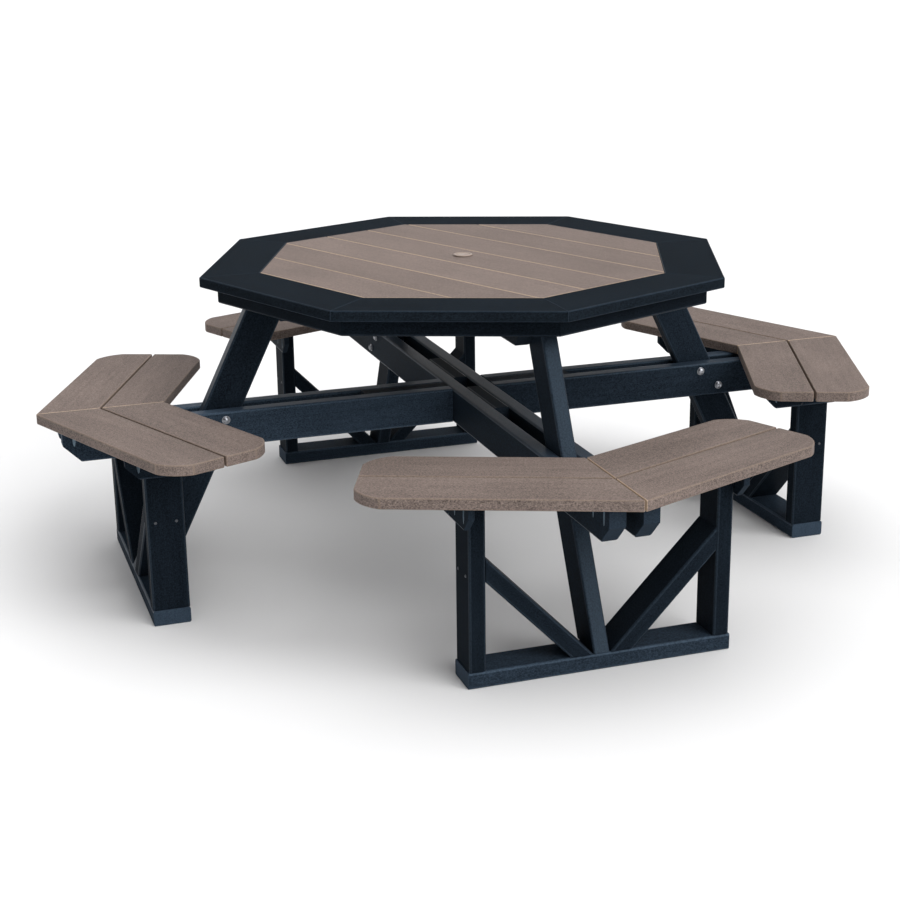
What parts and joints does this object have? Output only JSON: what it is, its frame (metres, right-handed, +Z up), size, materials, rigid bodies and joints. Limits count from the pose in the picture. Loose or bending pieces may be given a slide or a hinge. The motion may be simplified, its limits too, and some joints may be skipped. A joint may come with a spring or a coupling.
{
  "type": "picnic table",
  "caption": "Octagonal picnic table with angled benches on four sides, a crossed-beam frame with leaning legs, and a plug that closes the umbrella hole.",
  "frame": {"origin": "on the floor, under the middle of the tabletop", "axes": "+Z up; one bench faces each of +X, -X, +Y and -Y, and the frame's two crossed beams run along X and Y"},
  "size_m": [2.196, 2.196, 0.7668],
  "materials": {
    "slat": "brown recycled-plastic lumber, lightly grained",
    "seat": "brown recycled-plastic lumber, lightly grained",
    "border": "black recycled-plastic lumber, fine speckle",
    "frame": "black recycled-plastic lumber, fine speckle",
    "plug": "smooth moulded plastic"
  },
  "bodies": {
    "table": {"beam_filler_back": "frame", "beam_filler_front": "frame", "brace_back_left": "frame", "brace_back_right": "frame", "brace_front_left": "frame", "brace_front_right": "frame", "brace_left_back": "frame", "brace_left_front": "frame", "brace_right_back": "frame", "brace_right_front": "frame", "cleat_back_left": "frame", "cleat_back_right": "frame", "cleat_front_left": "frame", "cleat_front_right": "frame", "cleat_left_back": "frame", "cleat_left_front": "frame", "cleat_right_back": "frame", "cleat_right_front": "frame", "floor_board_back": "frame", "floor_board_front": "frame", "floor_board_left": "frame", "floor_board_right": "frame", "leg_back": "frame", "leg_front": "frame", "leg_left": "frame", "leg_right": "frame", "post_back_left": "frame", "post_back_right": "frame", "post_front_left": "frame", "post_front_right": "frame", "post_left_back": "frame", "post_left_front": "frame", "post_right_back": "frame", "post_right_front": "frame", "rail_x_left_back": "frame", "rail_x_left_front": "frame", "rail_x_right_back": "frame", "rail_x_right_front": "frame", "rail_y_left": "frame", "rail_y_right": "frame", "seat_back_inner": "seat", "seat_back_outer": "seat", "seat_front_inner": "seat", "seat_front_outer": "seat", "seat_left_inner": "seat", "seat_left_outer": "seat", "seat_right_inner": "seat", "seat_right_outer": "seat", "top_border": "border", "top_brace_x": "frame", "top_brace_y": "frame", "top_skirt": "frame", "top_slat_1": "slat", "top_slat_2": "slat", "top_slat_3": "slat", "top_slat_4": "slat", "top_slat_5": "slat", "top_slat_6": "slat", "top_slat_7": "slat"},
    "umbrella_plug": {"umbrella_hole_plug": "plug"}
  },
  "joints": [
    {"name": "plug_lift", "type": "slide", "parent": "table", "child": "umbrella_plug", "axis": [0, 0, 1], "range_m": [0, 0.06]}
  ]
}
